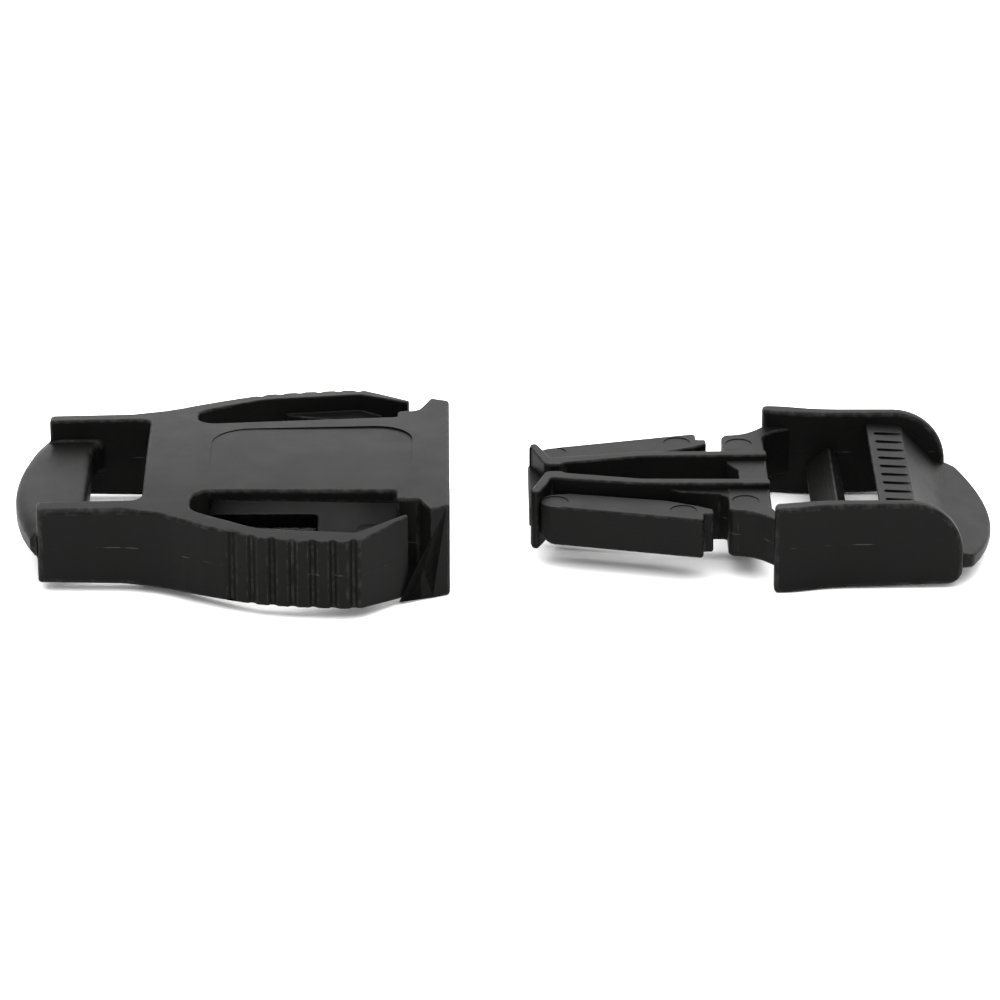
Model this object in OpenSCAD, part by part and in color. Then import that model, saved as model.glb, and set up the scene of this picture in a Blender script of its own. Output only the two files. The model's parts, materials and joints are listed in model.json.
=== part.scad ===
// Side release buckle with a squeeze-arm socket and a strap-adjusting plug.
// Both halves lie apart in line along X, the socket's mouth facing the plug.
// Millimetres, +Z up, origin on the resting plane below the middle of the two.

/* [Socket] */
// Length of the socket from the mouth face to the tip of the strap bar
socket_len = 56; // [53:0.5:60]
// Height of the socket over its crowned faces at the mouth
body_h = 13.4; // [12.9:0.1:14.4]
// Width of the mating faces of both halves
face_w = 34.2; // [33:0.2:37]
// Radius of the crown across the socket
crown_r = 165; // [120:5:240]
// Slope of the crowned faces towards the strap bar, in degrees
crown_slope = 1; // [0.5:0.1:1.5]
// Depth of the flat that the crowned underside rests on
rest_flat = 0.45; // [0.2:0.05:0.6]
// Width of the cavity at the mouth
mouth_w = 25.2; // [24.6:0.2:26]
// Height of the cavity
mouth_h = 8.5; // [8.2:0.1:8.9]
// Depth of the cavity behind the mouth face
cavity_depth = 34; // [33.4:0.2:35.4]
// Wall on each side of the neck
neck_wall = 1.9; // [1.5:0.1:2.4]
// Distance of the neck's rear end behind the mouth face
neck_end = 6.8; // [5.8:0.1:7.6]
// Width of the middle plates at the neck
plate_front_w = 24.2; // [22:0.2:25]
// Width of the middle plates at the rear end of the windows
plate_rear_w = 22; // [19:0.2:23.6]
// Length of the hole in the lower plate
hole_l = 15; // [10:0.5:16]
// Width of the hole in the lower plate
hole_w = 7.6; // [5:0.2:10]

/* [Top panel] */
// Length of the recessed panel on the top plate
panel_l = 26; // [20:0.5:27]
// Width of the recessed panel
panel_w = 17; // [12:0.2:19]
// Corner radius of the recessed panel
panel_r = 5; // [2:0.25:5.5]
// Depth of the panel at its mouth end, from which it fades out
panel_depth = 0.3; // [0.2:0.05:0.5]

/* [Strap bar] */
// Clear width of the strap slot, for webbing 25 mm wide
slot_w = 26; // [24:0.2:28]
// Clear length of the strap slot at its middle
slot_l = 7.6; // [6.6:0.2:8.4]
// Distance of the slot behind the mouth face
slot_start = 39.1; // [38.2:0.1:40]
// Thickness of the strap arms beside the slot
strap_arm_t = 2.7; // [2.2:0.1:3.4]
// Length of the strap arms beyond the slot's front edge
strap_arm_l = 13.3; // [12.2:0.1:14]
// Thickness of the curved strap bar
bar_t = 4.7; // [3.6:0.1:5.6]
// Plan radius of the strap bar's outer edge
bar_r = 42; // [36:1:60]

/* [Squeeze arms] */
// Width of the socket over the ribbed arms
arms_w = 49.6; // [48:0.2:52]
// Thickness of each arm at its root
arm_t = 3; // [2.4:0.1:3.4]
// Distance of the arm's flexing root behind the mouth face
arm_root_x = 32.3; // [31.8:0.1:32.8]
// Distance of the arm's flexing root from the middle
arm_root_y = 17.9; // [17.5:0.1:18.4]
// Number of grooves between the ribs
rib_grooves = 7; // [5:1:7]
// Spacing of the grooves
rib_pitch = 2.56; // [2.3:0.02:2.6]
// Radius of each groove
groove_r = 0.6; // [0.4:0.05:0.8]
// Height of the pusher inside each arm
pusher_h = 5.2; // [4:0.2:6]
// Radius of the pusher's nose
pusher_r = 1.4; // [1.1:0.1:1.6]

/* [Plug] */
// Distance between the mouth face and the plug's side plates as they lie apart
apart = 41.2; // [38:0.2:48]
// Length of the guide rails and nose in front of the side plates
nose_len = 31; // [30.6:0.1:31.6]
// Clear width between the side plates
lock_w = 27.8; // [26.6:0.2:29]
// Thickness of the side plates
side_t = 2; // [1.7:0.1:2.4]
// Length of the side plates
side_l = 24.1; // [23.2:0.1:25]
// Height of the side plates above the middle of the buckle
side_top = 5.5; // [5.2:0.1:6]
// Radius of the side plates' upper rear corner
side_r = 7; // [5:0.25:8]
// Height of the step from the shoulders up to the guide rails
rail_step = 0.6; // [0.3:0.1:0.9]
// Thickness of each guide rail at the base
rail_t = 1.6; // [1.3:0.1:2]
// Clear gap between the guide rails at the base
rail_gap = 7.6; // [6.8:0.2:8.2]
// Clear gap between the bumps at the front of the rails
bump_gap = 1.9; // [1.2:0.1:2.5]
// Thickness of the web that joins the rails at the nose
nose_t = 2.6; // [2:0.1:3.4]

/* [Prongs] */
// Height of each prong
prong_h = 5.4; // [4.6:0.1:6]
// Thickness of each prong at its flexing root
prong_root_t = 4; // [3.6:0.1:4.2]
// Thickness of each prong near its barb
prong_t = 5; // [4.4:0.1:5.4]
// Distance of the barb's shoulder in front of the side plates
barb_x = 8.85; // [8.6:0.05:9.4]
// Width over the two barbs as they lie relaxed
barb_w = 28.2; // [27.8:0.1:28.6]
// Depth of the step behind each barb
barb_step = 2; // [1.4:0.1:2.6]

/* [Strap lock] */
// Distance of the middle bar behind the front of the side plates
mid_bar_x = 5.6; // [5.2:0.1:6.4]
// Length of the middle bar's section
mid_bar_l = 4.5; // [3.8:0.1:5]
// Depth of the middle bar's section
mid_bar_h = 5.2; // [4:0.1:6]
// Distance of the grip bar behind the front of the side plates
grip_x = 13.4; // [12.8:0.1:14.2]
// Length of the grip bar's grooved top
grip_l = 4.3; // [3.6:0.1:4.8]
// Height of the grip bar's top above the middle of the buckle
grip_z = 4.1; // [3.6:0.1:4.5]
// Thickness of the grip bar and tongue
grip_t = 2.4; // [1.8:0.1:3]
// Number of grip grooves
grip_grooves = 9; // [5:2:9]
// Spacing of the grip grooves
grip_pitch = 2.65; // [2.2:0.05:2.8]
// Length of the tongue beyond the side plates
tongue_l = 4.8; // [3.6:0.1:6]
// Plan radius of the tongue's edge
tongue_r = 32; // [28:1:45]

/* [Hidden] */
$fn = 64;
// Running clearances between pieces that move on each other
root_gap = 0.1;
rail_play = 0.25;
shoulder_play = 0.6;
pusher_play = 0.5;
// Generous length for cutting and trimming solids
big = 120;
crown_fn = 360;
// Places of both halves on the resting plane
mid_z = body_h / 2 - rest_flat;
overall_l = socket_len + apart + side_l + tongue_l;
mouth_x = socket_len - overall_l / 2;
side_x = mouth_x + apart;
// Distance between the mouth face and the side plates once pushed home
home_gap = 0.6;

// Collar and neck
collar_l = 2.4;
collar_flare = 1.1;
collar_bevel = 1.5;
lip_wall = 1.9;
funnel_l = 3.4;
neck_taper = 0.3;
funnel_y = face_w / 2 - lip_wall;
// Windows
window_r = 2.5;
window_x = arm_root_x + 0.6;
// Direction of the arm as it leaves its root
root_turn = 30;
// Hips that widen the socket from the strap arms to the squeeze arms' roots
seat_lip = 1.2;
hip_l = 4.5;
hip_w = 1.2;
waist_l = 3;
waist_w = 0.2;

// Strap bar
slot_end = slot_start + slot_l;
slot_r = 1.5;
bar_round = 0.6;
bar_nose_l = 3.2;
bar_edge_h = 2;
bar_edge_r = 0.4;
bar_sink = 0.3;

// Squeeze arm outline, as distances behind the mouth face
arm_knee_x = 24.2;
arm_knee_in = 1.5;
arm_crest_x = 13.1;
arm_bevel_x = 11;
arm_bevel_in = 0.7;
arm_tip_x = 5.2;
arm_tip_t = 0.7;
arm_tip_lean = 0.3;
arm_crest_l = 4.5;
arm_crest_in = 0.6;
arm_bevel_l = 1.6;
arm_web_t = 0.5;
arm_knee_t = 0.3;
flank_in = 0.1;
arm_tip_y = face_w / 2 + collar_flare + 0.7;
groove_depth = 0.45;
first_groove_x = 12.05;
pusher_x = 10.4;
pusher_root_l = 10;
pusher_lean = 1.2;
pusher_neck_l = 3;
pusher_sink = 1;

// Guide rails and shoulders of the plug
rail_h = mouth_h - 2 * rail_play;
shoulder_h = rail_h - 2 * rail_step;
shoulder_l = 5.6;
shoulder_y = mouth_w / 2 - shoulder_play;
shoulder_back = 0.4;
bump_l = 1.8;
bump_x = nose_len - 4.5;
rail_tip_t = 2.3;
rail_bend_x = 16.4;
tip_y = 6.85;
tip_back = 0.5;
tip_lean = 0.2;
tip_t = 1;
rail_bow = 0.25;
rail_root = 1;
bump_rise = 0.6;
seat_wall = 0.3;
nose_w = 13;
gusset_w = 1;
gusset_l = 8;
gusset_lean = 2;
gusset_sink = 0.4;
gusset_rise = 0.6;

// Prong outline
barb_y = barb_w / 2;
prong_slope = 13.3;
prong_root_r = prong_root_t / 2;
prong_root_x = nose_len - 3.4;
prong_root_y = barb_y - (prong_root_x - barb_x) * tan(prong_slope)
               - prong_root_r / cos(prong_slope);
tail_l = 1.3;
chamfer_l = 4.5;

// Distance of the pusher's nose from the middle, just clear of the relaxed prong
pusher_nose_y = barb_y - (pusher_x - barb_x - home_gap) * tan(prong_slope) + pusher_play;

// Side plates and strap lock
side_round = 2;
side_bottom_rise = 0.5;
side_foot_l = 3;
flare_l = 9;
flare_out = face_w / 2 - lock_w / 2 - side_t;
slope_l = 4.8;
slope_drop = 5.1;
tongue_drop = 2;
grip_groove_w = 0.9;
grip_groove_depth = 0.35;
web_l = 3.5;

function arc(cx, cy, r, a0, a1, steps) =
    [for (i = [0:steps]) let (a = a0 + (a1 - a0) * i / steps)
        [cx + r * cos(a), cy + r * sin(a)]];

// Points around the arm's root: its outer side, its inner side and its back
function root_side(r) = [-arm_root_x - r * sin(root_turn), arm_root_y + r * cos(root_turn)];
function root_back(r) = [-arm_root_x - r * cos(root_turn), arm_root_y - r * sin(root_turn)];

module both_sides() {
    children();
    mirror([0, 1, 0]) children();
}

module to_socket() { translate([mouth_x, 0, mid_z]) children(); }

module to_plug() { translate([side_x, 0, mid_z]) children(); }

// Round-topped block between the crowned faces, sunk below them by sink
module crown_half(sink, slope) {
    rotate([0, slope, 0])
        translate([-big / 2, 0, body_h / 2 - sink - crown_r])
            rotate([0, 90, 0]) cylinder(h = 2 * big, r = crown_r, center = true, $fn = crown_fn);
}

module crowned(sink = 0) {
    intersection() {
        crown_half(sink, -crown_slope);
        mirror([0, 0, 1]) crown_half(sink, -crown_slope);
        translate([-big, -big / 2, -mid_z]) cube([2 * big, big, mid_z + body_h]);
    }
}

// Plan of one side of the socket without its squeeze arm
module socket_side_plan() {
    seat = arm_t / 2 + root_gap;
    neck_y = mouth_w / 2 + neck_wall;
    collar_y = face_w / 2 + collar_flare;
    polygon(concat(
        [[0, 0], [0, face_w / 2], [-collar_l, collar_y],
         [-collar_l - collar_bevel, neck_y + neck_taper / 2],
         [-neck_end, neck_y - neck_taper / 2], [-neck_end, plate_front_w / 2]],
        [[-window_x + window_r, plate_rear_w / 2]],
        arc(-window_x + window_r, plate_rear_w / 2 + window_r, window_r, 270, 180, 6),
        [[-window_x, arm_root_y - seat - seat_lip]],
        [root_side(-seat), root_side(seat)],
        [[-arm_root_x - hip_l, slot_w / 2 + strap_arm_t + hip_w],
         [-slot_start - waist_l / 3, slot_w / 2 + strap_arm_t + waist_w],
         [-slot_start - waist_l, slot_w / 2 + strap_arm_t],
         [-slot_start - strap_arm_l, slot_w / 2 + strap_arm_t],
         [-slot_start - strap_arm_l, 0]]));
}

// Curved strap bar: a thick round-nosed section trimmed by the plan of its edge
module strap_bar() {
    half = bar_t / 2;
    edge = bar_edge_h / 2;
    end_y = slot_w / 2 + strap_arm_t - bar_sink;
    intersection() {
        rotate([90, 0, 0]) translate([0, 0, -big / 2]) linear_extrude(big)
            polygon([[-slot_end, half - bar_round], [-slot_end - bar_round, half],
                     [-socket_len + bar_nose_l, half], [-socket_len + bar_edge_r, edge + bar_edge_r],
                     [-socket_len, edge], [-socket_len, -edge],
                     [-socket_len + bar_edge_r, -edge - bar_edge_r], [-socket_len + bar_nose_l, -half],
                     [-slot_end - bar_round, -half], [-slot_end, -half + bar_round]]);
        linear_extrude(big, center = true) intersection() {
            translate([bar_r - socket_len, 0]) circle(bar_r, $fn = crown_fn);
            translate([-socket_len, -end_y]) square([socket_len - slot_start, 2 * end_y]);
        }
    }
}

module strap_slot() {
    linear_extrude(big, center = true) {
        translate([-slot_start - strap_arm_l - 1, -slot_w / 2])
            square([strap_arm_l + 1 - slot_r, slot_w]);
        translate([-slot_start - slot_r - 1, -slot_w / 2 + slot_r])
            square([slot_r + 1, slot_w - 2 * slot_r]);
        both_sides() translate([-slot_start - slot_r, slot_w / 2 - slot_r]) circle(slot_r);
    }
}

// Cavity that takes the rails and prongs, funnel-shaped at the mouth
module socket_cavity() {
    half = mouth_w / 2;
    inner = plate_rear_w / 2 - 1;
    linear_extrude(mouth_h, center = true) both_sides()
        polygon([[1, -1], [1, funnel_y], [0, funnel_y], [-funnel_l, half],
                 [-neck_end - 1, half], [-neck_end - 1, arm_root_y],
                 [-arm_root_x + arm_t, arm_root_y - arm_t], [-window_x, plate_rear_w / 2 + window_r],
                 [-window_x, inner], [-cavity_depth, inner], [-cavity_depth, -1]]);
}

module panel_recess() {
    front = neck_end - 2;
    difference() {
        linear_extrude(big) translate([-front - panel_l, -panel_w / 2]) {
            translate([panel_r, 0]) square([panel_l - 2 * panel_r, panel_w]);
            translate([0, panel_r]) square([panel_l, panel_w - 2 * panel_r]);
            for (x = [panel_r, panel_l - panel_r], y = [panel_r, panel_w - panel_r])
                translate([x, y]) circle(panel_r);
        }
        translate([-front - panel_l, 0, 0]) rotate([0, atan(panel_depth / panel_l), 0])
            translate([front + panel_l, 0, 0]) crown_half(0, -crown_slope);
    }
}

module socket_body() {
    color([0.17, 0.17, 0.16]) to_socket() {
        difference() {
            intersection() {
                linear_extrude(big, center = true) both_sides() socket_side_plan();
                crowned();
            }
            socket_cavity();
            strap_slot();
            panel_recess();
            translate([-arm_root_x, -hole_w / 2, -body_h]) cube([hole_l, hole_w, body_h]);
            both_sides() translate([-arm_root_x, arm_root_y, 0])
                cylinder(h = big, r = arm_t / 2 + root_gap, center = true);
        }
        strap_bar();
    }
}

// Plan of the squeeze arm on the +Y side: root, ribbed crest and free end
module arm_plan() {
    r = arm_t / 2;
    w = arms_w / 2;
    translate([-arm_root_x, arm_root_y]) circle(r);
    difference() {
        polygon([root_side(r), [-arm_knee_x, w - arm_knee_in],
                 [-arm_knee_x + arm_crest_l, w - arm_crest_in], [-arm_crest_x, w],
                 [-arm_bevel_x, w - arm_bevel_in],
                 [-arm_tip_x, arm_tip_y], [-arm_tip_x - arm_tip_lean, arm_tip_y - arm_tip_t],
                 [-arm_crest_x + arm_bevel_l, w - arm_t + arm_web_t],
                 [-arm_knee_x + arm_crest_l, w - arm_t - arm_web_t],
                 [-arm_knee_x, w - arm_knee_in - arm_t + arm_knee_t],
                 root_side(-r), root_back(r / 2)]);
        for (i = [0:rib_grooves - 1]) {
            x = -first_groove_x - i * rib_pitch;
            y = x > -arm_knee_x ? w - flank_in - (-arm_crest_x - x) * arm_knee_in / (arm_knee_x - arm_crest_x)
                : w - arm_knee_in - (-arm_knee_x - x) * tan(root_turn);
            translate([x, y + groove_r - groove_depth]) circle(groove_r, $fn = 32);
        }
    }
}

module pusher_plan() {
    w = arms_w / 2;
    nose_y = pusher_nose_y + pusher_r;
    translate([-pusher_x, nose_y]) circle(pusher_r);
    polygon([[-pusher_x - pusher_r, nose_y], [-pusher_x + pusher_r, nose_y],
             [-pusher_x + pusher_r, w - arm_t - 0.8 * pusher_sink],
             [-arm_crest_x + arm_bevel_l, w - arm_t + pusher_sink],
             [-pusher_x - pusher_root_l, w - arm_t + 0.1 * pusher_sink],
             [-pusher_x - pusher_root_l - pusher_lean, w - arm_t - 0.4 * pusher_sink],
             [-pusher_x - pusher_r, nose_y + pusher_neck_l]]);
}

module squeeze_arm() {
    intersection() {
        linear_extrude(big, center = true) arm_plan();
        crowned();
    }
    linear_extrude(pusher_h, center = true) pusher_plan();
}

module squeeze_arm_front() {
    color([0.16, 0.16, 0.15]) to_socket() mirror([0, 1, 0]) squeeze_arm();
}

module squeeze_arm_back() {
    color([0.16, 0.16, 0.15]) to_socket() squeeze_arm();
}

// Plan of one guide rail with its bump and its flared front tip
module rail_plan() {
    base = rail_gap / 2;
    bump = bump_gap / 2;
    polygon([[-rail_root, base], [-rail_bend_x, base - rail_bow], [-bump_x, bump + bump_rise],
             [-bump_x - tip_lean, bump], [-bump_x - bump_l, bump],
             [-nose_len + tip_back, tip_y], [-nose_len + tip_back + tip_lean, tip_y + tip_t],
             [-prong_root_x - prong_root_r, prong_root_y + seat_wall],
             [-prong_root_x - prong_root_r / 2, prong_root_y - prong_root_r],
             [-bump_x - bump_l + tip_lean, bump + rail_tip_t],
             [-bump_x + seat_wall, bump + rail_tip_t + bump_rise],
             [-rail_bend_x, base + rail_t - rail_bow], [-rail_root, base + rail_t]]);
}

module gusset_plan() {
    y = rail_gap / 2 + rail_t - gusset_sink;
    polygon([[-shoulder_l - gusset_l, y], [-shoulder_l - gusset_l + gusset_lean, y + gusset_w],
             [-shoulder_l - gusset_w, y + gusset_w + gusset_rise],
             [-shoulder_l + gusset_sink, y + 2 * gusset_w + gusset_rise],
             [-shoulder_l + gusset_sink, y]]);
}

module shoulder_plan() {
    polygon([[shoulder_back, 0], [shoulder_back, lock_w / 2 - 1], [web_l, lock_w / 2 + 0.5],
             [0.5, lock_w / 2 + 1.2], [0, funnel_y - 0.2], [-0.8, funnel_y - 0.9],
             [-2.4, shoulder_y + 0.7], [-funnel_l - 0.4, shoulder_y], [-shoulder_l + 0.5, shoulder_y],
             [-shoulder_l, shoulder_y - 0.5], [-shoulder_l, rail_gap / 2 + rail_t / 2],
             [-4, rail_gap / 2 + rail_t / 2], [-4, 0]]);
}

// Side plate: flared front plan trimmed by its rounded side profile
module side_plate() {
    inner = lock_w / 2;
    intersection() {
        linear_extrude(big, center = true)
            polygon([[0, inner + flare_out - 0.1], [0, inner + flare_out + side_t],
                     [flare_l / 3, inner + flare_out + side_t - 0.15],
                     [flare_l * 0.7, inner + side_t + flare_out * 0.4],
                     [flare_l, inner + side_t + flare_out * 0.1],
                     [side_l, inner + side_t - 0.2], [side_l, inner],
                     [flare_l, inner], [flare_l / 2, inner + flare_out * 0.4]]);
        rotate([90, 0, 0]) linear_extrude(big, center = true) {
            polygon(concat([[0, -mid_z], [side_foot_l, -mid_z]],
                arc(side_l - side_round, side_round + side_bottom_rise - mid_z, side_round, 272, 360, 8),
                arc(side_l - side_r, side_top - side_r, side_r, 0, 90, 14), [[0, side_top]]));
        }
    }
}

module middle_bar() {
    l = mid_bar_l;
    rotate([90, 0, 0]) linear_extrude(lock_w + side_t, center = true)
        polygon([[mid_bar_x, -1.9], [mid_bar_x + l * 0.7, 0.8], [mid_bar_x + l, -0.8],
                 [mid_bar_x + l * 0.85, 0.8 - mid_bar_h], [mid_bar_x + l * 0.35, 0.8 - mid_bar_h]]);
}

// Grooved grip bar that runs down into the sloping tongue
module grip_bar() {
    top_x = grip_x + grip_l;
    fold_x = top_x + slope_l;
    tip_x = side_l + tongue_l;
    fold_z = grip_z - 0.3 - slope_drop;
    difference() {
        intersection() {
            rotate([90, 0, 0]) linear_extrude(big, center = true)
                polygon([[grip_x, grip_z], [top_x, grip_z - 0.3], [fold_x, fold_z],
                         [tip_x, fold_z - tongue_drop], [tip_x, fold_z - tongue_drop - 1],
                         [fold_x - 0.6, fold_z - grip_t], [top_x - 1.2, grip_z - 0.9 - grip_t],
                         [grip_x + 0.6, grip_z - grip_t]]);
            linear_extrude(big, center = true) union() {
                translate([0, -lock_w / 2 - side_t / 2])
                    square([side_l - side_round, lock_w + side_t]);
                intersection() {
                    translate([tip_x - tongue_r, 0]) circle(tongue_r, $fn = crown_fn);
                    translate([fold_x - 1, -lock_w / 2 - side_t + 0.6])
                        square([big, lock_w + 2 * side_t - 1.2]);
                }
            }
        }
        for (i = [0:grip_grooves - 1])
            translate([grip_x + 1, (i - (grip_grooves - 1) / 2) * grip_pitch - grip_groove_w / 2,
                       grip_z - grip_groove_depth - 0.1])
                cube([grip_l - 0.9, grip_groove_w, 1]);
    }
}

module plug_frame() {
    color([0.15, 0.15, 0.15]) to_plug() {
        difference() {
            union() {
                linear_extrude(rail_h, center = true) both_sides() rail_plan();
                linear_extrude(shoulder_h, center = true) both_sides() shoulder_plan();
                linear_extrude(shoulder_h - rail_step, center = true) both_sides() gusset_plan();
            }
            both_sides() translate([-prong_root_x, prong_root_y, 0])
                cylinder(h = prong_h + 2 * root_gap, r = prong_root_r + root_gap, center = true);
        }
        linear_extrude(nose_t, center = true)
            polygon([[-nose_len, -nose_w / 2], [-nose_len, nose_w / 2],
                     [-bump_x - bump_l, bump_gap], [-bump_x - bump_l, -bump_gap]]);
        both_sides() side_plate();
        middle_bar();
        grip_bar();
    }
}

// Plan of the prong on the +Y side: round root, barb and stepped tail
module prong_plan() {
    r = prong_root_r - 0.02;
    s = prong_slope;
    polygon([[-prong_root_x - r * sin(s), prong_root_y + r * cos(s)], [-barb_x, barb_y],
             [-barb_x, barb_y - barb_step], [-barb_x + tail_l, barb_y - barb_step],
             [-barb_x + tail_l, barb_y - barb_step - 1.6],
             [-barb_x - 0.6, barb_y - prong_t + 0.3],
             [-barb_x - chamfer_l, barb_y - prong_t - 1.4],
             [-prong_root_x + 1.8, prong_root_y - r - 0.3],
             [-prong_root_x + r * sin(s), prong_root_y - r * cos(s)],
             [-prong_root_x - r * cos(s) / 2, prong_root_y - r * sin(s) / 2]]);
}

module prong() {
    linear_extrude(prong_h, center = true) prong_plan();
    translate([-prong_root_x, prong_root_y, 0])
        cylinder(h = prong_h, r = prong_root_r, center = true);
}

module prong_front() {
    color([0.18, 0.18, 0.17]) to_plug() mirror([0, 1, 0]) prong();
}

module prong_back() {
    color([0.18, 0.18, 0.17]) to_plug() prong();
}

socket_body();
squeeze_arm_front();
squeeze_arm_back();
plug_frame();
prong_front();
prong_back();
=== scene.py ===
import json
import math

import bmesh
import bpy
from mathutils import Matrix, Vector


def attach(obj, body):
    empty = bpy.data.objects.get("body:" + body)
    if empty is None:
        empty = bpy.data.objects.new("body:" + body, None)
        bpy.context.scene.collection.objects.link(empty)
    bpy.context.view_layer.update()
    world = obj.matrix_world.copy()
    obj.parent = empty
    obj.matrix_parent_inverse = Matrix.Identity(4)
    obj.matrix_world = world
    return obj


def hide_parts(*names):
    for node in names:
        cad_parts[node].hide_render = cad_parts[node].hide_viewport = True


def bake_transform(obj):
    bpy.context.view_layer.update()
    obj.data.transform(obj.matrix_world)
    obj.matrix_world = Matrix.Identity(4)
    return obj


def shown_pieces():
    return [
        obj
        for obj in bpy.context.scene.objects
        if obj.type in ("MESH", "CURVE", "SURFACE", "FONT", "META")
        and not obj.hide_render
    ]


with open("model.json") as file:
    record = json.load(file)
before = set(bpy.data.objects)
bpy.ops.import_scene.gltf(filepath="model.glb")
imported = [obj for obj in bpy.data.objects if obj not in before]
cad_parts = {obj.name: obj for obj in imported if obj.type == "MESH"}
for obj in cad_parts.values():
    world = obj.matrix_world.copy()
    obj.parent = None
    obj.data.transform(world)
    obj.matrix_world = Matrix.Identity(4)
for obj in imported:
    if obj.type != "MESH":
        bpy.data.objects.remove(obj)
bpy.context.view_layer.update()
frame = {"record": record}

deg = math.radians

# Camera, low in front of the buckle as in the photograph. A long lens from
# about three quarters of a metre keeps both halves almost free of perspective.
MM = 0.001
CAMERA_ELEVATION = deg(23.79)
CAMERA_TURN = deg(-0.6)
CAMERA_DISTANCE = 745.1 * MM
CAMERA_TARGET = Vector((-0.4, 12.3, 0.25)) * MM
camera_data = bpy.data.cameras.new("camera")
camera_data.sensor_width = 36
camera_data.lens = 203.4
camera_data.clip_start = 0.05
camera_data.clip_end = 20
camera = bpy.data.objects.new("camera", camera_data)
bpy.context.scene.collection.objects.link(camera)
camera_back = Vector((
    math.sin(CAMERA_TURN) * math.cos(CAMERA_ELEVATION),
    -math.cos(CAMERA_TURN) * math.cos(CAMERA_ELEVATION),
    math.sin(CAMERA_ELEVATION),
))
camera.location = CAMERA_TARGET + CAMERA_DISTANCE * camera_back
camera.rotation_euler = (-camera_back).to_track_quat("-Z", "Y").to_euler()
bpy.context.scene.camera = camera
bpy.context.scene.view_settings.view_transform = "Standard"

# Socket body: the half with the mouth, one moulding in black acetal. Its faces
# are crowned, its middle plates stand between two windows, and a curved bar
# takes a sewn loop of webbing. It is modelled in millimetres from the mouth.
mounts = {m["name"]: Vector(m["pos_m"]) for m in frame["record"]["mounts"]}
SOCKET_ORIGIN = mounts["socket_mouth"]
MID_Z = SOCKET_ORIGIN.z / MM
FACE_HALF = 17.1
COLLAR_HALF = 18.2
BODY_HALF = 6.7
REST_FLAT = 0.45
CROWN_RADIUS = 165
CROWN_SLOPE = math.tan(deg(1))
CAVITY_HALF = 4.25
MOUTH_HALF = 12.6
SLOT_START = -39.1
SLOT_END = -46.7
SLOT_HALF = 13
ARM_LEFT = -52.4
BAR_TIP = -56
BAR_RADIUS = 42
COLLAR_REAR = -4.8
COLLAR_RAMP = 2.4
COLLAR_LIFT = 0.55
THROUGH = 20
SHARP = deg(32)
CROWN_ROWS = [2.3 * i for i in range(-11, 12)]


def arc(cx, cy, radius, first, last, steps):
    angles = [deg(first + (last - first) * i / steps) for i in range(steps + 1)]
    return [(cx + radius * math.cos(a), cy + radius * math.sin(a)) for a in angles]


def block(name, outline, low, high, upright=False):
    """Extrudes a closed outline: along Z, or along Y where it stands upright."""
    bpy.ops.object.select_all(action="DESELECT")
    bpy.ops.mesh.primitive_circle_add(vertices=len(outline), fill_type="NGON")
    piece = bpy.context.active_object
    piece.name = name
    for vertex, (u, v) in zip(piece.data.vertices, outline):
        vertex.co = (u, low, v) if upright else (u, v, low)
    rise = (0, high - low, 0) if upright else (0, 0, high - low)
    bpy.ops.object.mode_set(mode="EDIT")
    bpy.ops.mesh.select_all(action="SELECT")
    bpy.ops.mesh.extrude_region_move(TRANSFORM_OT_translate={"value": rise})
    bpy.ops.mesh.select_all(action="SELECT")
    bpy.ops.mesh.normals_make_consistent(inside=False)
    bpy.ops.object.mode_set(mode="OBJECT")
    return piece


def pick(piece):
    """Makes a piece the one that Blender's operators work on."""
    bpy.ops.object.select_all(action="DESELECT")
    bpy.context.view_layer.objects.active = piece
    piece.select_set(True)


def carve(piece, tool, operation="DIFFERENCE"):
    """Cuts a tool out of a piece, or welds or trims the two, and drops the tool."""
    modifier = piece.modifiers.new("carve", "BOOLEAN")
    modifier.operation = operation
    modifier.solver = "EXACT"
    modifier.object = tool
    pick(piece)
    bpy.ops.object.modifier_apply(modifier="carve")
    bpy.data.objects.remove(tool)
    return piece


def mirrored(outline):
    """Closes a half outline, given from the middle outwards and back, in both halves."""
    return outline + [(x, -y) for x, y in reversed(outline) if abs(y) > 1e-6]


def flipped(outline, side):
    """The outline on the side that side's sign gives."""
    return [(x, y * side) for x, y in outline]


def bisect_rows(piece, places, axis, start=Vector((0, 0, 0))):
    """Slices a mesh at each place along an axis from a start, so that it can follow a curve."""
    pick(piece)
    bpy.ops.object.mode_set(mode="EDIT")
    for place in places:
        bpy.ops.mesh.select_all(action="SELECT")
        bpy.ops.mesh.bisect(plane_co=start + axis * place, plane_no=axis)
    bpy.ops.object.mode_set(mode="OBJECT")


def crown_drop(y):
    """Fall of the crown at y, straight between the rows so that each facet is flat."""
    rows = CROWN_ROWS
    reach = min(max(y, rows[0]), rows[-1])
    index = min(int((reach - rows[0]) / (rows[1] - rows[0])), len(rows) - 2)
    low, high = rows[index], rows[index + 1]
    share = (reach - low) / (high - low)
    return (low * low * (1 - share) + high * high * share) / (2 * CROWN_RADIUS)


def crown_height(x, y):
    """Height of the crowned face; the collar at the mouth falls away less at its sides."""
    collar = min(max((x - COLLAR_REAR) / COLLAR_RAMP, 0), 1)
    return BODY_HALF + CROWN_SLOPE * x - crown_drop(y) * (1 - COLLAR_LIFT * collar)


def crown(piece):
    bisect_rows(piece, CROWN_ROWS, Vector((0, 1, 0)))
    bisect_rows(piece, [COLLAR_REAR, COLLAR_REAR + COLLAR_RAMP], Vector((1, 0, 0)))
    for vertex in piece.data.vertices:
        height = crown_height(vertex.co.x, vertex.co.y)
        vertex.co.z *= height / BODY_HALF
    return piece


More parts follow.
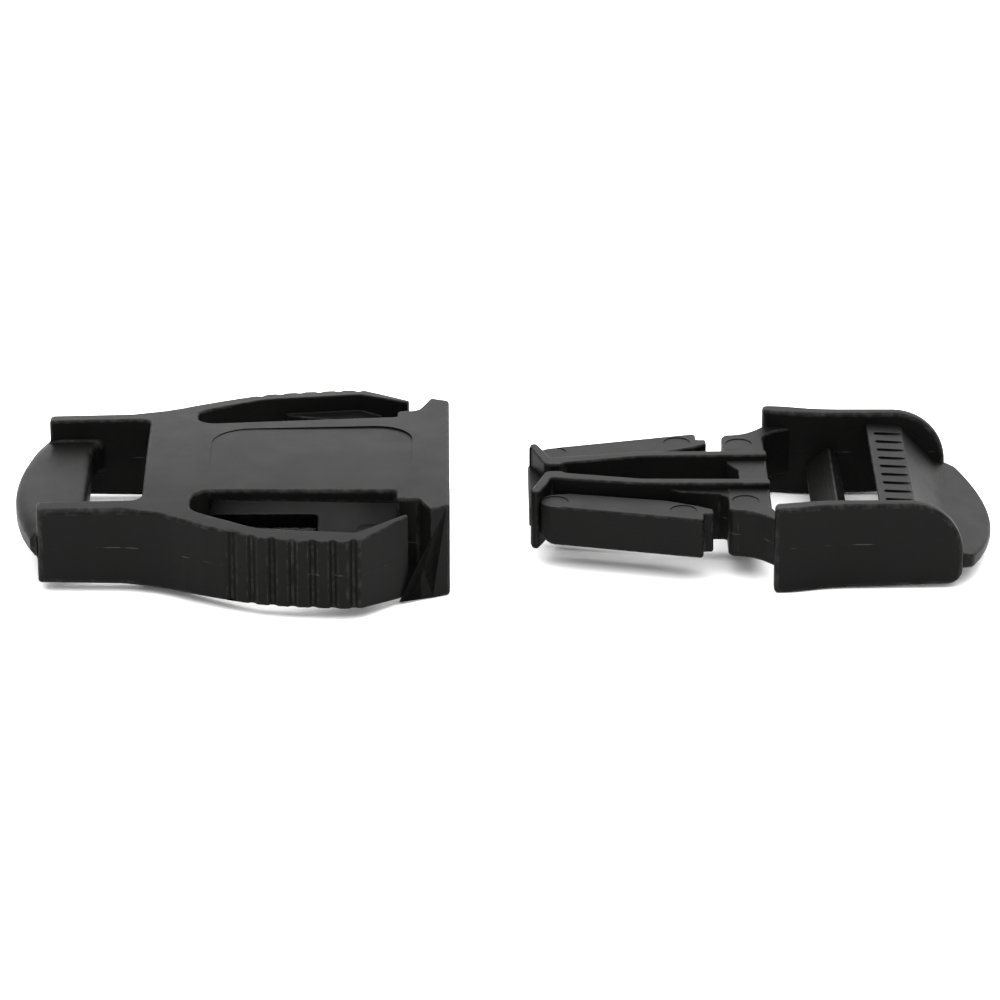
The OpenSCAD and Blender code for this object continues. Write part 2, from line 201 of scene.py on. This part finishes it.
def round_edges(piece, width, share=lambda place: 1, segments=3):
    """Rounds every sharp edge, as a mould does, by width times the share at its place."""
    mesh = piece.data
    pick(piece)
    bpy.ops.object.mode_set(mode="EDIT")
    bpy.ops.mesh.select_all(action="SELECT")
    bpy.ops.mesh.remove_doubles(threshold=0.002)
    bpy.ops.mesh.dissolve_limited(angle_limit=deg(0.1))
    bpy.ops.mesh.select_all(action="DESELECT")
    bpy.ops.mesh.select_mode(type="EDGE")
    bpy.ops.mesh.edges_select_sharp(sharpness=SHARP)
    bpy.ops.object.mode_set(mode="OBJECT")
    weights = mesh.attributes.new("bevel_weight_edge", "FLOAT", "EDGE")
    for edge in mesh.edges:
        middle = (mesh.vertices[edge.vertices[0]].co + mesh.vertices[edge.vertices[1]].co) / 2
        weights.data[edge.index].value = share(middle) if edge.select else 0
    modifier = piece.modifiers.new("round", "BEVEL")
    modifier.width = width
    modifier.segments = segments
    modifier.limit_method = "WEIGHT"
    modifier.use_clamp_overlap = False
    modifier.miter_outer = "MITER_ARC"
    bpy.ops.object.modifier_apply(modifier="round")
    mark_rounded(piece)
    return piece


def mark_rounded(piece):
    """Marks the narrow faces of the rounded edges, where handling rubs the plastic paler."""
    shape = bmesh.new()
    shape.from_mesh(piece.data)
    layer = shape.faces.layers.float.new("rounded_edge")
    for face in shape.faces:
        narrow = face.calc_area() < 0.15 * face.calc_perimeter()
        bulging = max(edge.calc_face_angle_signed(0) for edge in face.edges) > deg(6)
        face[layer] = 1.0 if narrow and bulging else 0.0
    shape.to_mesh(piece.data)
    shape.free()


def settle(piece, origin, body, node):
    """Smooths a finished piece, puts it in its place in metres and hands it to its body."""
    piece.data.transform(Matrix.Translation(origin) @ Matrix.Scale(MM, 4))
    pick(piece)
    bpy.ops.object.shade_smooth_by_angle(angle=SHARP)
    modifier = piece.modifiers.new("even_shade", "WEIGHTED_NORMAL")
    modifier.keep_sharp = True
    bpy.ops.object.modifier_apply(modifier="even_shade")
    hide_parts(node)
    if body:
        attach(piece, body)


# Ribbed flank: seven grooves between six ribs, from the knee to the free end.
GROOVES = [-12.1 - 2.56 * i for i in range(7)]
GROOVE_DEPTH = 0.5
GROOVE_HALF = 0.72


def flank(x):
    """Outer face of the squeeze arm at x, before the grooves."""
    points = [
        (-33.4, 18.95), (-28.3, 21.45), (-24.2, 23.3), (-19.7, 24.25), (-13.1, 24.8), (-11.1, 24.35),
    ]
    for (x0, y0), (x1, y1) in zip(points, points[1:]):
        if x <= x1:
            return y0 + (y1 - y0) * (x - x0) / (x1 - x0)
    return points[-1][1]


ribbed_flank = []
for groove in GROOVES:
    for i in range(9):
        reach = (i - 4) / 4
        x = groove - GROOVE_HALF * reach
        dip = GROOVE_DEPTH * (0.5 + 0.5 * math.cos(math.pi * reach))
        ribbed_flank.append((x, flank(x) - dip))

socket_outline = mirrored([
    (0, 0), (0, FACE_HALF), (-2.4, COLLAR_HALF), (-3.9, 14.65), (-6.8, 14.35), (-6.8, 12.1),
    (-30.4, 11.0), *arc(-30.4, 13.5, 2.5, 262, 188, 5), (-32.9, 14.6), (-32.75, 15.5),
    (-32.2, 16.2), (-31.5, 16.75), (-28.6, 18.45), (-25.4, 20.3), (-24.0, 20.85), (-22.6, 21.1),
    (-19.7, 21.45),
    (-12.1, 22.35), (-11.5, 22.25), (-5.55, 18.15), (-5.2, 18.8),
    (-11.1, 24.35), *ribbed_flank, (-28.6, 21.32), (-31.3, 20.0), (-33.4, 18.85), (-35.2, 17.75),
    (-37.2, 16.75), (-40.2, 15.92), (-42.2, 15.75), (ARM_LEFT, 15.7), (ARM_LEFT, 0),
])
shell = block("socket_shell", socket_outline, -BODY_HALF, BODY_HALF)
crown(shell)

# Strap slot with soft front corners, open at the rear until the bar closes it.
slot_outline = mirrored([
    (SLOT_START, 0), *arc(SLOT_START - 1.6, SLOT_HALF - 1.6, 1.6, 0, 90, 5),
    (ARM_LEFT - 2, SLOT_HALF), (ARM_LEFT - 2, 0),
])
carve(shell, block("slot_tool", slot_outline, -THROUGH, THROUGH))

# Cavity for the rails and prongs, funnel-shaped at the mouth.
cavity_outline = mirrored([
    (2, 0), (2, 15.2), (0, 15.2), (-3.4, MOUTH_HALF), (-7.6, MOUTH_HALF), (-7.6, 17.3), (-12.6, 17.6),
    (-29.0, 15.4), (-31.0, 9.8), (-34, 9.8), (-34, 0),
])
carve(shell, block("cavity_tool", cavity_outline, -CAVITY_HALF, CAVITY_HALF))

# Hole in the lower plate, and the flat that the crowned underside rests on.
hole_outline = mirrored([(-17.3, 0), (-17.3, 3.8), (-32.3, 3.8), (-32.3, 0)])
carve(shell, block("hole_tool", hole_outline, -THROUGH, -2))
rest_outline = mirrored([(10, 0), (10, 40), (-70, 40), (-70, 0)])
carve(shell, block("rest_tool", rest_outline, -30, -BODY_HALF + REST_FLAT))

# Curved strap bar: a round-nosed section that follows the arc of its outer
# edge and flares into the strap arms at both ends.
BAR_HALF = 2.35
BAR_END = 14.9


def bar_edges(y):
    nose = BAR_TIP + BAR_RADIUS - math.sqrt(BAR_RADIUS ** 2 - y * y)
    flare = max(0, abs(y) - 10.2)
    return SLOT_END + 0.19 * flare * flare, nose


bar_section = [
    (0, 1.75), (0.06, 2.2), (0.12, BAR_HALF), (0.62, BAR_HALF), (0.8, 2.1), (0.94, 1.5), (1, 0.75),
    (1, -0.75), (0.94, -1.5), (0.8, -2.1), (0.62, -BAR_HALF), (0.12, -BAR_HALF), (0.06, -2.2),
    (0, -1.75),
]
bar = block("strap_bar", bar_section, -BAR_END, BAR_END, upright=True)
bisect_rows(bar, [-15 + 1.0 * i for i in range(31)], Vector((0, 1, 0)))
for vertex in bar.data.vertices:
    slot_side, nose = bar_edges(vertex.co.y)
    vertex.co.x = slot_side + (nose - slot_side) * vertex.co.x
carve(shell, bar, "UNION")

# Pushers inside the squeeze arms, a web each that ends in a round nose.
PUSHER_HALF = 2.6
PUSHER_NOSE = arc(-10.4, 15.6, 1.4, 360, 180, 8)
PUSHER_WEB = [(-11.8, 18.5), (-21.6, 21.0), (-21.6, 22.0), (-10.4, 23.2), (-9.0, 21.8)]
for side in (-1, 1):
    pusher = flipped(PUSHER_NOSE + PUSHER_WEB, side)
    carve(shell, block("pusher", pusher, -PUSHER_HALF, PUSHER_HALF), "UNION")


def socket_round(place):
    """Share of the rounding: widest at the rear corners, fine on the ribs and the strap bar."""
    if place.x < ARM_LEFT - 0.2:
        return 0.3
    if place.x < -40 and abs(place.y) > 15.4:
        return 1.3
    return 0.36 if abs(place.y) > 17.5 and place.x > -29.5 else 0.7


SOCKET_ROUNDING = 0.6
round_edges(shell, SOCKET_ROUNDING, socket_round, 4)

# Shallow panel on the top plate, deepest at the mouth and fading to the rear.
PANEL_FRONT = -4.8
PANEL_REAR = -30.8
PANEL_HALF = 8.5
PANEL_CORNER = 5
PANEL_FALL = 0.16
PANEL_SINK = 0.02
GROOVE_SINK = 0.09
OUTLINE_WIDTH = 0.13


def panel_tool(grow, sink):
    """Tool over the panel, grown by a margin, whose floor follows the crown at a depth."""
    corner = PANEL_CORNER + grow
    outline = mirrored([
        (PANEL_FRONT + grow, 0),
        *arc(PANEL_FRONT - PANEL_CORNER, PANEL_HALF - PANEL_CORNER, corner, 0, 90, 9),
        *arc(PANEL_REAR + PANEL_CORNER, PANEL_HALF - PANEL_CORNER, corner, 90, 180, 9),
        (PANEL_REAR - grow, 0),
    ])
    tool = block("panel_tool", outline, 0, 30)
    bisect_rows(tool, CROWN_ROWS, Vector((0, 1, 0)))
    for vertex in tool.data.vertices:
        if vertex.co.z < 1:
            share = (vertex.co.x - PANEL_REAR) / (PANEL_FRONT - PANEL_REAR)
            vertex.co.z = crown_height(vertex.co.x, vertex.co.y) - sink - PANEL_FALL * share
    return tool


carve(shell, panel_tool(0, PANEL_SINK))
carve(shell, carve(panel_tool(0, GROOVE_SINK), panel_tool(-OUTLINE_WIDTH, -5)))

# Squeeze arms: the ribbed flanks are one moulding with the socket, each on a
# root that bends as it is pressed. They are sawn off the shell behind the root
# and sliced across it in rows.
ROOT = Vector((-32.3, 17.9, 0))
ROOT_LEAN = deg(30)
BEND_BEFORE = 1.6
VOID_PATH = [
    (-31, 15), (-28, 16.8), (-22, 18.5), (-12.6, 13.2), (-8.2, 13.2), (-7.9, 16.5), (-4.6, 16),
    (-3.9, 17.5), (-3.6, 19.5), (-3.6, 27), (-37, 27),
]


def copy_of(piece, name):
    twin = piece.copy()
    twin.data = piece.data.copy()
    twin.name = name
    bpy.context.scene.collection.objects.link(twin)
    return twin


def arm_region(side):
    """Plan of all that belongs to one arm, from the saw cut across its root."""
    lean = Vector((math.cos(ROOT_LEAN), math.sin(ROOT_LEAN), 0))
    across = Vector((-lean.y, lean.x, 0))
    sawn = ROOT - lean * (BEND_BEFORE + 0.2)
    outline = [(sawn + across * reach)[:2] for reach in (4.4, 0, -2.4)] + VOID_PATH
    return block("arm_region", flipped(outline, side), -THROUGH, THROUGH)


for node, body, side in (("squeeze_arm_front", "arm_front", -1), ("squeeze_arm_back", "arm_back", 1)):
    arm = copy_of(shell, node + "_ribbed")
    carve(arm, arm_region(side), "INTERSECT")
    carve(shell, arm_region(side))
    root = Vector((ROOT.x, ROOT.y * side, 0))
    lean = Vector((math.cos(ROOT_LEAN), side * math.sin(ROOT_LEAN), 0))
    bisect_rows(arm, [-1.2 + 0.8 * step for step in range(6)], lean, root)
    settle(arm, SOCKET_ORIGIN, None, node)
    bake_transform(arm)
settle(shell, SOCKET_ORIGIN, "socket", "socket_body")

# Plug frame: the half that is pushed home, also one moulding. Two guide rails
# run from its web-like nose to shoulders between two flared side plates, which
# carry the bars that the webbing is threaded round.
STRAP_SLOT_X = 3
PLUG_ORIGIN = mounts["plug_strap_slot"] - Vector((STRAP_SLOT_X * MM, 0, 0))
NOSE_X = -31
RAIL_HALF = 4.0
SHOULDER_HALF = 3.25
LOCK_HALF = 13.9
SIDE_LENGTH = 24.1
SIDE_TOP = 5.5
SIDE_RADIUS = 7


rail_outline = [
    (0, 3.8), (-16.4, 3.55), (-26.3, 1.55), (-26.8, 0.95), (-28.3, 0.95), (-28.9, 1.35),
    (-30.7, 6.9), *arc(-30.1, 7.35, 0.62, 215, 60, 5), (-28.9, 5.7), (-28.1, 3.25), (-26.4, 3.6),
    (-16.4, 5.2), (0, 5.4),
]
gusset_outline = [(-13.6, 4.9), (-11.4, 5.95), (-6.6, 6.6), (-5.2, 8), (-5, 4.9)]
shoulder_outline = [
    (-0.1, 4.6), (-0.1, 11.2), (0.4, 12.4), (1.7, 13.5), (4.2, 14.7), (0.6, 15.5), (-0.2, 15.0),
    (-1.3, 13.8), (-2.5, 12.9), (-3.6, 12.5), (-4.4, 12.4), *arc(-4.5, 11.3, 1.1, 90, 180, 5), (-5.6, 4.6),
]
floor_outline = [(-0.1, 5), (-5.3, 5), (-5.2, 2.9), (-3.9, 0.7), (-3.9, -5), (-0.1, -5)]
plug = block("plug_frame_dressed", floor_outline, -SHOULDER_HALF, SHOULDER_HALF)
round_edges(plug, 0.25)
for side in (-1, 1):
    shoulder = block("shoulder", flipped(shoulder_outline, side), -SHOULDER_HALF, SHOULDER_HALF)
    carve(plug, round_edges(shoulder, 0.35), "UNION")
    gusset = block("gusset", flipped(gusset_outline, side), -3.1, 3.1)
    carve(plug, round_edges(gusset, 0.2), "UNION")
    rail = block("rail", flipped(rail_outline, side), -RAIL_HALF, RAIL_HALF)
    carve(plug, round_edges(rail, 0.3), "UNION")
nose_outline = mirrored([(NOSE_X, 0), (NOSE_X, 6.7), (-30.5, 7.6), (-28.4, 2.4), (-28.2, 0)])
carve(plug, round_edges(block("nose_web", nose_outline, -1.3, 1.3), 0.25), "UNION")

# Side plates, flared outwards at the front and rounded off at the rear.
SIDE_FOOT = -6.25
side_profile = [
    (0, SIDE_FOOT), (3, SIDE_FOOT), *arc(SIDE_LENGTH - 2, -3.75, 2, 272, 360, 7),
    *arc(SIDE_LENGTH - SIDE_RADIUS, SIDE_TOP - SIDE_RADIUS, SIDE_RADIUS, 0, 90, 14), (0, SIDE_TOP),
]
side_plan = [
    (0, 15.0), (0, 17.1), (1.5, 17.05), (3.0, 16.85), (4.6, 16.5), (6.2, 16.15), (8.0, 15.95),
    (9.8, 15.85), (SIDE_LENGTH + 1, 15.7), (SIDE_LENGTH + 1, 13.9), (9, 13.9), (6.8, 13.95),
    (4.6, 14.2), (2.2, 14.65),
]
for side in (-1, 1):
    inner, outer = sorted((12 * side, 18 * side))
    plate = block("side_plate", side_profile, inner, outer, upright=True)
    carve(plate, block("side_plan", flipped(side_plan, side), -THROUGH, THROUGH), "INTERSECT")
    carve(plug, round_edges(plate, 0.55), "UNION")

# Middle bar, a wedge that pinches the webbing, with its sharp edge on top.
middle_bar = [(5.6, -1.9), (8.75, 0.8), (10.1, -0.8), (9.4, -4.4), (7.2, -4.4)]
middle = block("middle_bar", middle_bar, -LOCK_HALF - 0.6, LOCK_HALF + 0.6, upright=True)
carve(plug, round_edges(middle, 0.25), "UNION")

# Grip bar with a grooved top, running down into the tongue that lifts the bar.
GRIP_TOP = 4.1
TIP_X = 28.9
GRIP_PITCH = 2.67
GRIP_GROOVES = 9
GRIP_GROOVE_HALF = 0.45
GRIP_GROOVE_DEPTH = 0.42
grip_profile = [
    (13.4, GRIP_TOP), (18.0, 3.8), (22.6, -1.3), (TIP_X, -3.3), (TIP_X, -4.3), (21.9, -3.7),
    (16.5, 0.8), (14.0, 1.7),
]
grip = block("grip_bar", grip_profile, -17, 17, upright=True)
tongue_plan = mirrored([
    (12, 0), (12, 14.6), (21.4, 14.6), (21.4, 15.0), (22.3, 15.3), (24.5, 14.75),
    *arc(-3.1, 0, 32, 26.5, 2, 16), (TIP_X, 0),
])
carve(grip, block("tongue_plan", tongue_plan, -THROUGH, THROUGH), "INTERSECT")
round_edges(grip, 0.4)
for i in range(GRIP_GROOVES):
    middle = (i - GRIP_GROOVES // 2) * GRIP_PITCH
    half = GRIP_GROOVE_HALF
    groove = arc(14.8, middle, half, 90, 270, 6) + [(19.5, middle - half), (19.5, middle + half)]
    carve(grip, block("grip_groove", groove, GRIP_TOP - GRIP_GROOVE_DEPTH, GRIP_TOP + 3))
carve(plug, grip, "UNION")


# Round marks left by the ejector pins, sunk a little into the top faces.
def pin_mark(piece, x, y, top, radius=1.75, depth=0.1):
    bpy.ops.object.select_all(action="DESELECT")
    place = (x, y, top - depth + 1)
    bpy.ops.mesh.primitive_cylinder_add(vertices=40, radius=radius, depth=2, location=place)
    bpy.ops.object.transform_apply(location=True, rotation=False, scale=False)
    carve(piece, bpy.context.active_object)


for side in (-1, 1):
    pin_mark(plug, -3.4, 9.2 * side, SHOULDER_HALF)
settle(plug, PLUG_ORIGIN, "plug", "plug_frame")

# Prongs: the thick springs folded back from the nose, one moulding with it.
# Each ends in the barb that the socket's neck holds until an arm is squeezed.
PRONG_HALF = 2.7
PRONG_ROOT = (-27.6, 7.61)
prong_outline = [
    *arc(PRONG_ROOT[0], PRONG_ROOT[1], 1.98, 103, 257, 9), (-25.8, 5.3), (-13.35, 7.7), (-9.45, 9.4),
    (-7.55, 10.5), (-7.55, 12.1), (-8.85, 12.1), (-8.85, 13.5), (-9.1, 14.04),
]
prong_profile = [
    (-6, -PRONG_HALF), (-6, PRONG_HALF), (-30, PRONG_HALF), *arc(-27.8, -0.9, 1.8, 180, 270, 6),
]
for node, side in (("prong_front", -1), ("prong_back", 1)):
    prong = block(node + "_dressed", flipped(prong_outline, side), -PRONG_HALF, PRONG_HALF)
    carve(prong, block("prong_profile", prong_profile, -THROUGH, THROUGH, upright=True), "INTERSECT")
    round_edges(prong, 0.3)
    pin_mark(prong, -27.7, 8.0 * side, PRONG_HALF)
    pin_mark(prong, -11.4, 11.0 * side, PRONG_HALF)
    settle(prong, PLUG_ORIGIN, node, node)

# Black acetal: both halves are moulded in the same matte plastic, with the fine
# grain and faint clouding of the mould, a broken parting line at mid height
# with a painted highlight along it, and edges paler where handling has worn them.
def group_of(name, inputs, outputs):
    group = bpy.data.node_groups.new(name, "ShaderNodeTree")
    for label, kind, value in inputs:
        socket = group.interface.new_socket(label, in_out="INPUT", socket_type=kind)
        socket.default_value = value
    for label, kind in outputs:
        group.interface.new_socket(label, in_out="OUTPUT", socket_type=kind)
    return group, group.nodes.new("NodeGroupInput"), group.nodes.new("NodeGroupOutput")


def node_in(tree, kind, settings=(), values=()):
    node = tree.nodes.new(kind)
    for key, value in dict(settings).items():
        setattr(node, key, value)
    for key, value in dict(values).items():
        node.inputs[key].default_value = value
    return node


def noise_of(tree, place, scale, detail=2.0, roughness=0.5):
    values = {"Scale": scale, "Detail": detail, "Roughness": roughness}
    noise = node_in(tree, "ShaderNodeTexNoise", values=values)
    tree.links.new(place, noise.inputs["Vector"])
    return noise.outputs["Fac"]


def span_of(tree, value, low, high, to_low=0.0, to_high=1.0):
    span = node_in(tree, "ShaderNodeMapRange", {"clamp": True},
                   {"From Min": low, "From Max": high, "To Min": to_low, "To Max": to_high})
    tree.links.new(value, span.inputs["Value"])
    return span.outputs["Result"]


def math_of(tree, operation, first, second):
    step = node_in(tree, "ShaderNodeMath", {"operation": operation})
    for index, term in enumerate((first, second)):
        if isinstance(term, (int, float)):
            step.inputs[index].default_value = term
        else:
            tree.links.new(term, step.inputs[index])
    return step.outputs["Value"]


# Grain of the mould's spark-eroded steel, as a height, and its clouding.
mould_grain, grain_in, grain_out = group_of(
    "mould_grain",
    [("Place", "NodeSocketVector", (0, 0, 0)), ("Grain scale", "NodeSocketFloat", 9000)],
    [("Height", "NodeSocketFloat"), ("Clouding", "NodeSocketFloat")],
)
fine = node_in(mould_grain, "ShaderNodeTexNoise", values={"Detail": 2.0, "Roughness": 0.6})
mould_grain.links.new(grain_in.outputs["Place"], fine.inputs["Vector"])
mould_grain.links.new(grain_in.outputs["Grain scale"], fine.inputs["Scale"])
swell = noise_of(mould_grain, grain_in.outputs["Place"], 420, 3.0)
height = math_of(mould_grain, "ADD", fine.outputs["Fac"], math_of(mould_grain, "MULTIPLY", swell, 1.6))
mould_grain.links.new(height, grain_out.inputs["Height"])
clouds = noise_of(mould_grain, grain_in.outputs["Place"], 160, 4.0, 0.6)
mould_grain.links.new(span_of(mould_grain, clouds, 0.3, 0.7), grain_out.inputs["Clouding"])

# Parting line: a hair of flash round the middle plane, trimmed here and there, given as a bump, with a
# painted highlight: patches along the line lightened in colour as glints.
PARTING_HALF = 0.07
parting_line, parting_in, parting_out = group_of(
    "parting_line",
    [("Place", "NodeSocketVector", (0, 0, 0)), ("Level", "NodeSocketFloat", MID_Z * MM)],
    [("Line", "NodeSocketFloat"), ("Glint", "NodeSocketFloat")],
)
split = node_in(parting_line, "ShaderNodeSeparateXYZ")
parting_line.links.new(parting_in.outputs["Place"], split.inputs["Vector"])
wander = noise_of(parting_line, parting_in.outputs["Place"], 300, 1.0)
drift = math_of(parting_line, "MULTIPLY", math_of(parting_line, "SUBTRACT", wander, 0.5), 0.12 * MM)
offset = math_of(parting_line, "SUBTRACT", split.outputs["Z"], parting_in.outputs["Level"])
offset = math_of(parting_line, "ABSOLUTE", math_of(parting_line, "ADD", offset, drift), 0)
line = span_of(parting_line, offset, PARTING_HALF * 0.5 * MM, PARTING_HALF * MM, 1, 0)
parting_line.links.new(line, parting_out.inputs["Line"])
# Painted highlight: noise patches pick out parts of the line to be lightened in colour.
patches = noise_of(parting_line, parting_in.outputs["Place"], 230, 3.0, 0.65)
glint = math_of(parting_line, "MULTIPLY", line, span_of(parting_line, patches, 0.56, 0.62))
parting_line.links.new(glint, parting_out.inputs["Glint"])

# Edge wear: the rounded edges carry an attribute, broken up by a scuff pattern.
edge_wear, wear_in, wear_out = group_of(
    "edge_wear",
    [
        ("Place", "NodeSocketVector", (0, 0, 0)),
        ("Edge", "NodeSocketFloat", 0),
        ("Amount", "NodeSocketFloat", 0.5),
    ],
    [("Wear", "NodeSocketFloat")],
)
scuffs = noise_of(edge_wear, wear_in.outputs["Place"], 700, 4.0, 0.7)
worn = math_of(edge_wear, "MULTIPLY", wear_in.outputs["Edge"], span_of(edge_wear, scuffs, 0.45, 0.75))
worn = math_of(edge_wear, "MULTIPLY", worn, wear_in.outputs["Amount"])
edge_wear.links.new(worn, wear_out.inputs["Wear"])


def black_acetal(name, fresh, worn_and_glint_grey, roughness):
    material = bpy.data.materials.new(name)
    material.use_nodes = True
    tree = material.node_tree
    shader = tree.nodes["Principled BSDF"]
    shader.inputs["Specular IOR Level"].default_value = 0.065
    place = tree.nodes.new("ShaderNodeTexCoord").outputs["Object"]
    edge = node_in(tree, "ShaderNodeAttribute", {"attribute_name": "rounded_edge"}).outputs["Fac"]

    def placed(group, values=()):
        node = node_in(tree, "ShaderNodeGroup", {"node_tree": group}, values)
        tree.links.new(place, node.inputs["Place"])
        return node

    grain = placed(mould_grain)
    parting = placed(parting_line)
    wear = placed(edge_wear, {"Amount": 0.55})
    tree.links.new(edge, wear.inputs["Edge"])
    clouded = [channel * 1.35 for channel in fresh]
    shades = {"A": (*fresh, 1), "B": (*clouded, 1)}
    cloud = node_in(tree, "ShaderNodeMix", {"data_type": "RGBA"}, shades)
    tree.links.new(grain.outputs["Clouding"], cloud.inputs["Factor"])
    # Paler colour from real edge wear and from the painted highlight on the parting line.
    wear_and_painted_glint = math_of(tree, "MAXIMUM", wear.outputs["Wear"], parting.outputs["Glint"])
    colour = node_in(tree, "ShaderNodeMix", {"data_type": "RGBA"}, {"B": (*worn_and_glint_grey, 1)})
    tree.links.new(wear_and_painted_glint, colour.inputs["Factor"])
    tree.links.new(cloud.outputs["Result"], colour.inputs["A"])
    tree.links.new(colour.outputs["Result"], shader.inputs["Base Color"])
    gloss = span_of(tree, grain.outputs["Clouding"], 0, 1, roughness - 0.03, roughness + 0.04)
    tree.links.new(gloss, shader.inputs["Roughness"])
    bump = node_in(tree, "ShaderNodeBump", values={"Strength": 0.35, "Distance": 0.02 * MM})
    flash = math_of(tree, "MULTIPLY", parting.outputs["Line"], 2.0)
    relief = math_of(tree, "ADD", grain.outputs["Height"], flash)
    tree.links.new(relief, bump.inputs["Height"])
    tree.links.new(bump.outputs["Normal"], shader.inputs["Normal"])
    return material


FRESH = (0.0022, 0.0023, 0.0021)
# Grey of edges worn by handling, also used for the painted highlight on the parting line.
WORN_AND_GLINT_GREY = (0.03, 0.03, 0.029)
ROUGHNESS = 0.46
socket_black = black_acetal("socket_black", FRESH, WORN_AND_GLINT_GREY, ROUGHNESS)
plug_black = black_acetal("plug_black", FRESH, WORN_AND_GLINT_GREY, ROUGHNESS)
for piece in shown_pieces():
    piece.data.materials.clear()
    piece.data.materials.append(socket_black if piece.name.startswith("s") else plug_black)

# Plain white floor and a bright room, with a long softbox behind the buckle
# that skims its upper faces and a broad one above it.
bpy.ops.object.select_all(action="DESELECT")
bpy.ops.mesh.primitive_plane_add(size=12, location=(0, 0, 0))
floor = bpy.context.active_object
floor.name = "floor"
floor_paint = bpy.data.materials.new("floor_paint")
floor_paint.use_nodes = True
floor_shader = floor_paint.node_tree.nodes["Principled BSDF"]
floor_shader.inputs["Base Color"].default_value = (0.93, 0.93, 0.93, 1)
floor_shader.inputs["Roughness"].default_value = 0.9
floor_shader.inputs["Specular IOR Level"].default_value = 0.1
floor.data.materials.append(floor_paint)


def softbox(name, size, place, aim, power):
    data = bpy.data.lights.new(name, "AREA")
    data.shape = "RECTANGLE"
    data.size, data.size_y = size
    data.energy = power
    light = bpy.data.objects.new(name, data)
    light.location = place
    light.rotation_euler = (Vector(aim) - Vector(place)).to_track_quat("-Z", "Y").to_euler()
    bpy.context.scene.collection.objects.link(light)


softbox("softbox_behind", (1.6, 0.7), (0.1, 0.95, 0.62), (0, 0, 0), 9)
softbox("softbox_above", (2.4, 2.4), (-0.1, 0.0, 1.3), (0, 0, 0), 50)
room = bpy.data.worlds.new("room")
room.use_nodes = True
room.node_tree.nodes["Background"].inputs["Color"].default_value = (1, 1, 1, 1)
room.node_tree.nodes["Background"].inputs["Strength"].default_value = 1.4
bpy.context.scene.world = room
